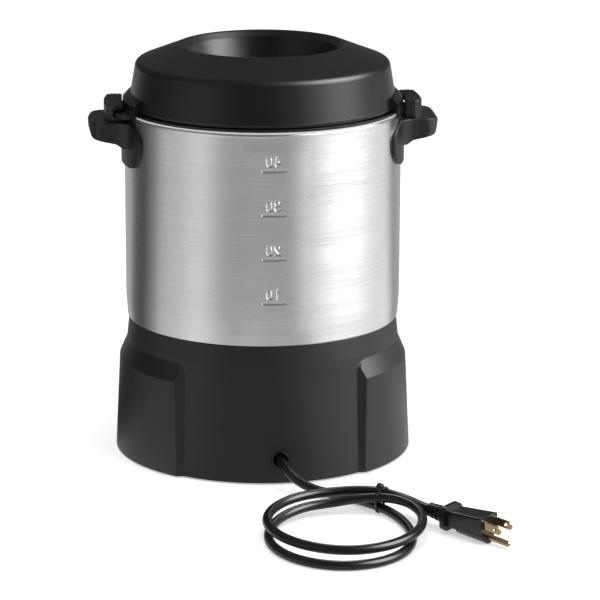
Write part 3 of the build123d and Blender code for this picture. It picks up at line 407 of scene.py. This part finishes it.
def digitStrokes(text):              # short lines, from the middle of the digits' foot
    spec = levelMarks
    strokes = []
    for place, digit in enumerate(text):
        left = spec["digitsAcross"] + (place - 0.5) * spec["digitPitch"] - spec["digitWidth"] / 2
        for path in digitPaths[digit]:
            line = [(left + x * spec["digitWidth"], y * spec["digitHeight"]) for x, y in smoothPath(path)]
            strokes.extend(zip(line, line[1:]))
    return strokes


def awayFrom(x, y, stroke):
    (ax, ay), (bx, by) = stroke
    dx, dy = bx - ax, by - ay
    share = min(1.0, max(0.0, ((x - ax) * dx + (y - ay) * dy) / (dx * dx + dy * dy)))
    return math.hypot(x - ax - dx * share, y - ay - dy * share)


def pressedDepth(x, y, strokes):     # from 0 to 1; y is up from the bar's middle
    spec = levelMarks
    half, rise, margin = spec["barWidth"] / 2, spec["barHeight"] / 2, spec["digitMargin"]
    inBar = rise - math.hypot(max(0.0, abs(x - spec["barAcross"]) - half + rise), y)
    bar = easeIn(inBar / spec["barWall"])
    above = y - rise - spec["digitGap"]
    if not -margin < above < spec["digitHeight"] + margin:
        return bar
    if abs(x - spec["digitsAcross"]) > spec["digitPitch"] + margin:
        return bar
    nearest = min(awayFrom(x, above, stroke) for stroke in strokes)
    return max(bar, 1 - min(1.0, nearest / spec["strokeHalf"]) ** 2)


def gridLines(low, high, fineSpans):     # close lines where the marks are, wide ones elsewhere
    lines = [low]
    while lines[-1] < high:
        fine = any(start <= lines[-1] < end for start, end in fineSpans)
        lines.append(min(high, lines[-1] + levelMarks["fineStep" if fine else "wideStep"]))
    return lines


def makeMarks():
    spec = levelMarks
    down, up = spec["fineUp"]
    marked = [(z, digitStrokes(text)) for text, z in spec["levels"]]
    columns = gridLines(-spec["sheetHalf"], spec["sheetHalf"], [spec["fineAcross"]])
    rows = gridLines(spec["sheetFoot"], spec["sheetTop"], [(z + down, z + up) for z, strokes in marked])
    fadeAcross, fadeUp = spec["fade"]

    def build(sheet):
        grid = []
        for z in rows:
            edgeUp = easeIn(min(z - spec["sheetFoot"], spec["sheetTop"] - z) / fadeUp)
            level, strokes = min(marked, key=lambda mark: abs(z - mark[0] - (down + up) / 2))
            row = []
            for x in columns:
                lift = edgeUp * easeIn((spec["sheetHalf"] - abs(x)) / fadeAcross)
                out = (spec["proud"] + spec["edgeUnder"]) * lift - spec["edgeUnder"]
                pressed = spec["depth"] * pressedDepth(x, z - level, strokes)
                row.append(sheet.verts.new(onWall(x, z, out - pressed)))
            grid.append(row)
        for low, high in zip(grid, grid[1:]):
            for i in range(len(columns) - 1):
                sheet.faces.new((low[i + 1], low[i], high[i], high[i + 1]))

    marks = addPiece("levelMarks", meshFrom(build, "levelMarks"))
    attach(marks, "urn")
    return marks


marksPiece = makeMarks()
print("level marks pressed")


# Helpers for shader trees

def newTree(owner):                  # of a material or a world
    owner.use_nodes = True
    owner.node_tree.nodes.clear()
    return owner.node_tree


def newMaterial(name):
    material = bpy.data.materials.new(name)
    return material, newTree(material)


def wire(tree, value, socket):       # a link from another socket, or else a plain value
    if isinstance(value, bpy.types.NodeSocket):
        tree.links.new(value, socket)
    else:
        socket.default_value = value


def put(tree, kind, values=None, **settings):
    node = tree.nodes.new("ShaderNode" + kind)
    for key, value in settings.items():
        setattr(node, key, value)
    for key, value in (values or {}).items():
        wire(tree, value, node.inputs[key])
    return node


def calc(tree, operation, *values):
    return put(tree, "Math", dict(enumerate(values)), operation=operation).outputs[0]


def vectorCalc(tree, operation, *values):
    return put(tree, "VectorMath", dict(enumerate(values)), operation=operation).outputs


def remap(tree, value, low, high, toLow, toHigh, kind="LINEAR"):
    return put(tree, "MapRange", {"Value": value, "From Min": low, "From Max": high, "To Min": toLow,
                                  "To Max": toHigh}, interpolation_type=kind).outputs["Result"]


def noise(tree, place, scale, detail=2.0, roughness=0.5):
    return put(tree, "TexNoise", {"Vector": place, "Scale": scale, "Detail": detail,
                                  "Roughness": roughness}).outputs["Fac"]


def mixColour(tree, factor, first, second):      # 6, 7 and output 2 are the node's colour sockets
    return put(tree, "Mix", {0: factor, 6: first, 7: second}, data_type="RGBA").outputs[2]


def mixShader(tree, factor, first, second):
    return put(tree, "MixShader", {0: factor, 1: first.outputs[0], 2: second.outputs[0]})


def tone(colour, share=1.0):
    return [c * share for c in colour] + [1]


def ramp(tree, factor, stops):
    node = put(tree, "ValToRGB", {"Fac": factor})
    node.color_ramp.interpolation = "EASE"
    points = node.color_ramp.elements
    while len(points) < len(stops):
        points.new(1.0)
    for point, (place, level) in zip(points, stops):
        point.position = place
        point.color = (level, level, level, 1)
    return node.outputs["Color"]


def groupOf(name, inputs, outputs):
    group = bpy.data.node_groups.new(name, "ShaderNodeTree")
    for label, value in inputs:
        socket = group.interface.new_socket(label, in_out="INPUT", socket_type="NodeSocketFloat")
        socket.default_value = value
    for label in outputs:
        group.interface.new_socket(label, in_out="OUTPUT", socket_type="NodeSocketFloat")
    given, result = group.nodes.new("NodeGroupInput"), group.nodes.new("NodeGroupOutput")
    return group, given.outputs, result.inputs


def useGroup(tree, group, **values):
    node = tree.nodes.new("ShaderNodeGroup")
    node.node_tree = group
    for label, value in values.items():
        wire(tree, value, node.inputs[label])
    return node.outputs


def objectPlace(tree):
    return put(tree, "TexCoord").outputs["Object"]


# Shared surface effects

brushing = {
    "lineDetail": 3.0,
    "lineRoughness": 0.6,
    "bandScale": (9.0, 9.0, 60.0),
}


def makeBrushedLines():             # fine lines that run round the urn's axis, over slow bands
    group, given, result = groupOf("brushedLines", [("lineScale", 2400.0), ("around", 14.0)],
                                   ["lines", "bands"])
    place = objectPlace(group)
    stretch = put(group, "CombineXYZ", {"X": given["around"], "Y": given["around"], "Z": given["lineScale"]})
    drawn = vectorCalc(group, "MULTIPLY", place, stretch.outputs[0])[0]
    wide = vectorCalc(group, "MULTIPLY", place, brushing["bandScale"])[0]
    wire(group, noise(group, drawn, 1.0, brushing["lineDetail"], brushing["lineRoughness"]), result["lines"])
    wire(group, noise(group, wide, 1.0), result["bands"])
    return group


graining = {
    "roughness": 0.55,
    "cellShare": 0.4,
    "patchDetail": 3.0,
}


def makeMouldGrain():               # the fine grain of a moulded surface, with a slow change in its gloss
    group, given, result = groupOf("mouldGrain", [("grainScale", 1800.0), ("patchScale", 18.0)],
                                   ["grain", "patches"])
    place = objectPlace(group)
    fine = noise(group, place, given["grainScale"], roughness=graining["roughness"])
    cells = put(group, "TexVoronoi", {"Vector": place, "Scale": given["grainScale"]}, feature="SMOOTH_F1")
    grain = calc(group, "MULTIPLY_ADD", cells.outputs["Distance"], graining["cellShare"], fine)
    wire(group, grain, result["grain"])
    wire(group, noise(group, place, given["patchScale"], graining["patchDetail"]), result["patches"])
    return group


dusting = {
    "speckDetail": 4.0,
    "speckRoughness": 0.7,
    "speckFrom": (0.58, 0.75),
    "wipeScale": 26.0,
    "upFrom": (0.2, 1.0),           # how far up a face looks
    "leastShare": 0.25,             # what the other faces still get
}


def makeDust():                     # specks and wipes, mostly on faces that look up
    group, given, result = groupOf("dust", [("speckScale", 900.0), ("upward", 0.6)], ["amount"])
    place = objectPlace(group)
    specks = noise(group, place, given["speckScale"], dusting["speckDetail"], dusting["speckRoughness"])
    wipes = noise(group, place, dusting["wipeScale"])
    facing = put(group, "SeparateXYZ", {"Vector": put(group, "NewGeometry").outputs["Normal"]}).outputs["Z"]
    lying = remap(group, facing, *dusting["upFrom"], dusting["leastShare"], 1.0)
    speck = remap(group, specks, *dusting["speckFrom"], 0.0, 1.0)
    soft = calc(group, "MULTIPLY", calc(group, "MULTIPLY", speck, wipes), lying)
    wire(group, calc(group, "MULTIPLY", soft, given["upward"]), result["amount"])
    return group


brushedLines = makeBrushedLines()
mouldGrain = makeMouldGrain()
dust = makeDust()
print("shared surface effects ready")


# Materials. A dictionary beside each kind holds what all its finishes share; roughness changes by "gloss"
# below and above the finish's own value, and bumps are in millimetres.
maskRange = (0.3, 0.7)              # where the noise of the shared effects mostly lies


def finishWith(tree, shader):
    wire(tree, shader.outputs[0], put(tree, "OutputMaterial").inputs["Surface"])


def bumpFrom(tree, height, strength, deep):
    return put(tree, "Bump", {"Height": height, "Strength": strength, "Distance": deep * mm})


def glossFrom(tree, mask, roughness, look):
    less, more = look["gloss"]
    return remap(tree, mask, *maskRange, roughness - less, roughness + more)


brushedLook = {
    "lineScale": 2400.0,
    "lineTone": 0.93,
    "gloss": (0.06, 0.06),
    "bandGloss": 0.02,
    "deep": 0.02,
    "anisotropy": 0.75,
    "turned": 0.25,                 # a quarter turn, so that highlights stretch across the lines
}


def brushedMetal(name, colour, roughness, depth=0.25, around=14.0):
    material, tree = newMaterial(name)
    look = brushedLook
    effect = useGroup(tree, brushedLines, lineScale=look["lineScale"], around=around)
    worn = mixColour(tree, effect["lines"], tone(colour, look["lineTone"]), tone(colour))
    bands = remap(tree, effect["bands"], *maskRange, -look["bandGloss"], look["bandGloss"])
    rough = calc(tree, "ADD", glossFrom(tree, effect["lines"], roughness, look), bands)
    normal = bumpFrom(tree, effect["lines"], depth, look["deep"]).outputs["Normal"]
    shader = put(tree, "BsdfPrincipled", {"Base Color": worn, "Roughness": rough, "Metallic": 1.0,
                                          "Normal": normal})
    shader.inputs["Anisotropic"].default_value = look["anisotropy"]
    shader.inputs["Anisotropic Rotation"].default_value = look["turned"]
    tangent = put(tree, "Tangent", direction_type="RADIAL", axis="Z")
    wire(tree, tangent.outputs[0], shader.inputs["Tangent"])
    finishWith(tree, shader)
    return material


metalLook = {
    "patchScale": 45.0,
    "patchTone": 0.85,
    "gloss": (0.05, 0.07),
    "deep": 0.03,
}


def plainMetal(name, colour, roughness, grainScale=1500.0, depth=0.15):
    material, tree = newMaterial(name)
    look = metalLook
    effect = useGroup(tree, mouldGrain, grainScale=grainScale, patchScale=look["patchScale"])
    shader = put(tree, "BsdfPrincipled", {
        "Base Color": mixColour(tree, effect["patches"], tone(colour, look["patchTone"]), tone(colour)),
        "Metallic": 1.0,
        "Roughness": glossFrom(tree, effect["patches"], roughness, look),
        "Normal": bumpFrom(tree, effect["grain"], depth, look["deep"]).outputs["Normal"]})
    finishWith(tree, shader)
    return material


plasticLook = {
    "patchScale": 16.0,
    "patchTones": (0.86, 1.12),
    "dustColour": (0.35, 0.34, 0.32),
    "gloss": (0.04, 0.05),
    "deep": 0.04,
    "edgeSamples": 4,
}


def mouldedPlastic(name, colour, roughness, grainScale=1800.0, depth=0.2, dustShare=0.05, edgeRound=0.0):
    material, tree = newMaterial(name)
    look = plasticLook
    effect = useGroup(tree, mouldGrain, grainScale=grainScale, patchScale=look["patchScale"])
    settled = useGroup(tree, dust, upward=dustShare)
    dark, light = (tone(colour, share) for share in look["patchTones"])
    clean = mixColour(tree, effect["patches"], dark, light)
    bump = bumpFrom(tree, effect["grain"], depth, look["deep"])
    if edgeRound:                   # softens the sharp edges of the mouldings, in millimetres
        edges = put(tree, "Bevel", {"Radius": edgeRound * mm}, samples=look["edgeSamples"])
        wire(tree, edges.outputs[0], bump.inputs["Normal"])
    shader = put(tree, "BsdfPrincipled", {
        "Base Color": mixColour(tree, settled["amount"], clean, tone(look["dustColour"])),
        "Roughness": glossFrom(tree, effect["patches"], roughness, look),
        "Normal": bump.outputs["Normal"]})
    finishWith(tree, shader)
    return material


clearLook = {
    "grainScale": 900.0,
    "patchScale": 80.0,
    "patchTone": 0.8,
    "depth": 0.05,
    "deep": 0.03,
}


def clearPlastic(name, colour, roughness, transmission):
    material, tree = newMaterial(name)
    look = clearLook
    effect = useGroup(tree, mouldGrain, grainScale=look["grainScale"], patchScale=look["patchScale"])
    shader = put(tree, "BsdfPrincipled", {
        "Base Color": mixColour(tree, effect["patches"], tone(colour, look["patchTone"]), tone(colour)),
        "Roughness": roughness,
        "Normal": bumpFrom(tree, effect["grain"], look["depth"], look["deep"]).outputs["Normal"]})
    shader.inputs["Transmission Weight"].default_value = transmission
    finishWith(tree, shader)
    return material


sleeveLook = {
    "weaveScale": 900.0,
    "distortion": 1.5,
    "detail": 1.0,
    "gapTone": 0.7,
    "roughness": 0.8,
    "depth": 0.4,
    "deep": 0.1,
}


def fibreSleeve(name, colour):
    material, tree = newMaterial(name)
    look = sleeveLook
    weave = put(tree, "TexWave", {"Vector": objectPlace(tree), "Scale": look["weaveScale"],
                                  "Distortion": look["distortion"], "Detail": look["detail"]}).outputs["Fac"]
    shader = put(tree, "BsdfPrincipled", {
        "Base Color": mixColour(tree, weave, tone(colour, look["gapTone"]), tone(colour)),
        "Roughness": look["roughness"],
        "Normal": bumpFrom(tree, weave, look["depth"], look["deep"]).outputs["Normal"]})
    finishWith(tree, shader)
    return material


finishes = {
    "aluminium_shell": brushedMetal("aluminiumShell", (0.80, 0.80, 0.81), 0.30, depth=0.35),
    "pump_aluminium": brushedMetal("pumpAluminium", (0.76, 0.76, 0.77), 0.34, around=40.0),
    "cast_aluminium": plainMetal("castAluminium", (0.55, 0.55, 0.56), 0.55, 500.0, 0.6),
    "black_phenolic": mouldedPlastic("blackPhenolic", (0.007, 0.007, 0.0073), 0.42, edgeRound=1.5),
    "lid_plastic": mouldedPlastic("lidPlastic", (0.004, 0.004, 0.0042), 0.33, depth=0.08, edgeRound=0.4),
    "black_plastic": mouldedPlastic("tapPlastic", (0.007, 0.007, 0.0073), 0.38, edgeRound=0.4),
    "black_rubber": mouldedPlastic("footRubber", (0.014, 0.014, 0.014), 0.7, 900.0, 0.4),
    "silicone": mouldedPlastic("silicone", (0.72, 0.72, 0.69), 0.5, 900.0, 0.15, 0.02),
    "cord_cover": mouldedPlastic("cordCover", (0.005, 0.005, 0.0053), 0.28, 700.0, 0.10, 0.03, edgeRound=0.4),
    "tie_plastic": mouldedPlastic("tiePlastic", (0.008, 0.008, 0.0084), 0.36, 1200.0, 0.2, 0.03),
    "steel": plainMetal("zincSteel", (0.62, 0.62, 0.63), 0.32),
    "steel_plate": plainMetal("steelPlate", (0.60, 0.60, 0.61), 0.38, 700.0),
    "heater_sheath": plainMetal("heaterSheath", (0.30, 0.27, 0.25), 0.45),
    "thermostat_can": plainMetal("thermostatCan", (0.66, 0.66, 0.67), 0.25),
    "ceramic": mouldedPlastic("ceramic", (0.80, 0.78, 0.73), 0.28, 1200.0, 0.05, 0.02),
    "wire_cover": fibreSleeve("wireSleeve", (0.72, 0.72, 0.69)),
    "lamp_body": clearPlastic("lampGlass", (0.92, 0.88, 0.84), 0.05, 0.9),
    "amber_lens": clearPlastic("amberLens", (0.80, 0.26, 0.05), 0.15, 0.55),
    "brass": plainMetal("plugBrass", (0.56, 0.40, 0.21), 0.22, 2200.0, 0.1),
}


def dress(piece, material):
    piece.data.materials.clear()
    piece.data.materials.append(material)


for node, slot in slots.items():
    dress(nodes[node], finishes[slot])
dress(cordPiece, finishes["cord_cover"])
dress(tiePiece, finishes["tie_plastic"])
dress(marksPiece, finishes["aluminium_shell"])
dress(springPiece, finishes[slots["valve_spring"]])
print("materials assigned")


# Studio: pale floor, soft light, and the bright and dark sides that the metal mirrors
studio = {
    "floorHalf": 14.0,
    "floorColour": 0.88,
    "cameraLift": 0.42,      # lifts the floor to white for the camera alone
    "diffuseLevel": 0.62,
    "backdropLevel": 1.0,
    "overhead": 0.20,
    "wallTop": (0.30, 0.75),        # the walls fade out here, and the light overhead comes in
    "softboxLevel": 12.0,
    "softboxAt": (78.0, 36.0),      # degrees to the right of the camera, and up
    "softboxFade": (0.82, 0.99),
    "lowSpread": 0.94,       # the floor is near, so its bands sit a little closer to the camera
    "darkFrom": (0.40, 0.78, 1.25),     # the painted dark band in the floor's glow for the metal: metres from the urn
    "darkShare": 0.60,
}

# Brightness of what the metal mirrors, by degrees to the right of the camera
floorSides = [(-180, 0.55), (-149, 0.45), (-133, 0.12), (-119, 0.07), (-108, 0.20), (-90, 0.60), (-76, 0.68),
              (-53, 0.92), (-45, 0.88), (-37, 0.70), (-28, 0.60), (-8, 0.64), (16, 0.62), (25, 0.60),
              (32, 0.68), (44, 0.80), (57, 0.84), (75, 0.84), (108, 0.90), (122, 1.00), (131, 0.74),
              (141, 0.32), (158, 0.45), (180, 0.55)]
wallSides = [(-180, 0.12), (-131, 0.07), (-100, 0.08), (-84, 0.22), (-64, 0.35), (-52, 0.42), (-40, 0.34),
             (-29, 0.12), (-20, 0.05), (8, 0.05), (22, 0.10), (37, 0.30), (52, 0.44), (77, 0.50), (100, 0.45),
             (121, 0.28), (150, 0.12), (180, 0.12)]
# where the painted dark band in the floor's glow lies, by degrees to the right of the camera
darkSides = [(-180, 0.0), (-60, 0.0), (-30, 1.0), (20, 1.0), (45, 0.0), (180, 0.0)]
mostLight = 1.2              # a ramp holds levels up to 1, so they are divided by this and multiplied back
cameraSide = math.atan2(cameraView["place"][1], cameraView["place"][0])


def sideLight(tree, direction, sides, spread=1.0):
    turned = put(tree, "VectorRotate", {"Vector": direction, "Axis": (0, 0, 1), "Angle": -cameraSide},
                 rotation_type="AXIS_ANGLE")
    parts = put(tree, "SeparateXYZ", {"Vector": turned.outputs[0]}).outputs
    angle = calc(tree, "ARCTAN2", parts["Y"], parts["X"])
    share = remap(tree, angle, -math.pi * spread, math.pi * spread, 0.0, 1.0)
    stops = [((degrees + 180) / 360, level / mostLight) for degrees, level in sides]
    return calc(tree, "MULTIPLY", ramp(tree, share, stops), mostLight)


def softbox(tree, direction):
    turn, rise = (math.radians(angle) for angle in studio["softboxAt"])
    turn += cameraSide
    middle = (math.cos(turn) * math.cos(rise), math.sin(turn) * math.cos(rise), math.sin(rise))
    facing = vectorCalc(tree, "DOT_PRODUCT", direction, middle)["Value"]
    return remap(tree, facing, *studio["softboxFade"], 0.0, studio["softboxLevel"], "SMOOTHSTEP")


def plainLight(tree, level):
    light = put(tree, "Background", {"Strength": level})
    light.inputs["Color"].default_value = (1, 1, 1, 1)
    return light


def makeWorld():
    world = bpy.data.worlds.new("studioLight")
    bpy.context.scene.world = world
    tree = newTree(world)
    direction = put(tree, "TexCoord").outputs["Generated"]
    height = put(tree, "SeparateXYZ", {"Vector": direction}).outputs["Z"]
    low = remap(tree, height, *studio["wallTop"], 1.0, 0.0)
    walls = calc(tree, "MULTIPLY", sideLight(tree, direction, wallSides), low)
    above = remap(tree, height, *studio["wallTop"], 0.0, studio["overhead"])
    level = calc(tree, "ADD", calc(tree, "ADD", walls, above), softbox(tree, direction))
    rays = put(tree, "LightPath").outputs
    lit = mixShader(tree, rays["Is Glossy Ray"], plainLight(tree, studio["diffuseLevel"]),
                    plainLight(tree, level))
    seen = calc(tree, "MAXIMUM", rays["Is Camera Ray"], rays["Is Transmission Ray"])
    shown = mixShader(tree, seen, lit, plainLight(tree, studio["backdropLevel"]))
    wire(tree, shown.outputs[0], put(tree, "OutputWorld").inputs["Surface"])


def paintedDarkBand(tree, place):         # painted shade: the floor's glow for the metal is darkest a short way out in front of the urn, a painted dark band in the painted reflection
    away = vectorCalc(tree, "LENGTH", place)["Value"]
    near, middle, far = studio["darkFrom"]
    dip = remap(tree, away, near, middle, 0.0, 1.0, "SMOOTHSTEP")
    back = remap(tree, away, middle, far, 0.0, 1.0, "SMOOTHSTEP")
    ring = calc(tree, "SUBTRACT", dip, back)
    depth = calc(tree, "MULTIPLY", ring, sideLight(tree, place, darkSides))
    return calc(tree, "SUBTRACT", 1.0, calc(tree, "MULTIPLY", depth, studio["darkShare"]))


def makeFloor():
    half, level = studio["floorHalf"], studio["floorColour"]

    def build(sheet):
        corners = [(-half, -half), (half, -half), (half, half), (-half, half)]
        sheet.faces.new([sheet.verts.new((x, y, 0)) for x, y in corners])

    floor = addPiece("floor", meshFrom(build, "floor"))
    material, tree = newMaterial("paleFloor")
    pale = put(tree, "BsdfDiffuse")
    pale.inputs["Color"].default_value = (level, level, level, 1)
    rays = put(tree, "LightPath").outputs
    lift = put(tree, "Emission", {"Strength": calc(tree, "MULTIPLY", rays["Is Camera Ray"],
                                                   studio["cameraLift"])})
    seen = put(tree, "AddShader", {0: pale.outputs[0], 1: lift.outputs[0]})
    place = objectPlace(tree)
    # seen by glossy rays only, the floor glows in painted bands of light and shade, so the metal shows a
    # painted reflection
    paintedReflectionLevel = calc(tree, "MULTIPLY", sideLight(tree, place, floorSides, studio["lowSpread"]),
                    paintedDarkBand(tree, place))
    paintedReflection = put(tree, "Emission", {"Strength": paintedReflectionLevel})
    finishWith(tree, mixShader(tree, rays["Is Glossy Ray"], seen, paintedReflection))
    dress(floor, material)


lamps = {
    "keyRight": {"place": (-1.9, 1.6, 2.2), "size": 1.6, "power": 24.0},
    "topSoft": {"place": (0.2, 0.2, 2.8), "size": 2.4, "power": 22.0},
    "fillLeft": {"place": (2.2, 1.4, 1.3), "size": 1.6, "power": 8.0},
}
lampAim = Vector((0, 0, 0.15))


def makeLamps():
    for name, spec in lamps.items():
        data = bpy.data.lights.new(name, "AREA")
        data.shape = "SQUARE"
        data.size = spec["size"]
        data.energy = spec["power"]
        lamp = addPiece(name, data)
        lamp.location = spec["place"]
        lamp.rotation_mode = "QUATERNION"
        lamp.rotation_quaternion = (lampAim - lamp.location).to_track_quat("-Z", "Y")
        lamp.visible_glossy = False      # the world and the floor hold what the metal mirrors


makeWorld()
makeFloor()
makeLamps()
bpy.context.scene.view_settings.view_transform = "Standard"
print("studio lit")
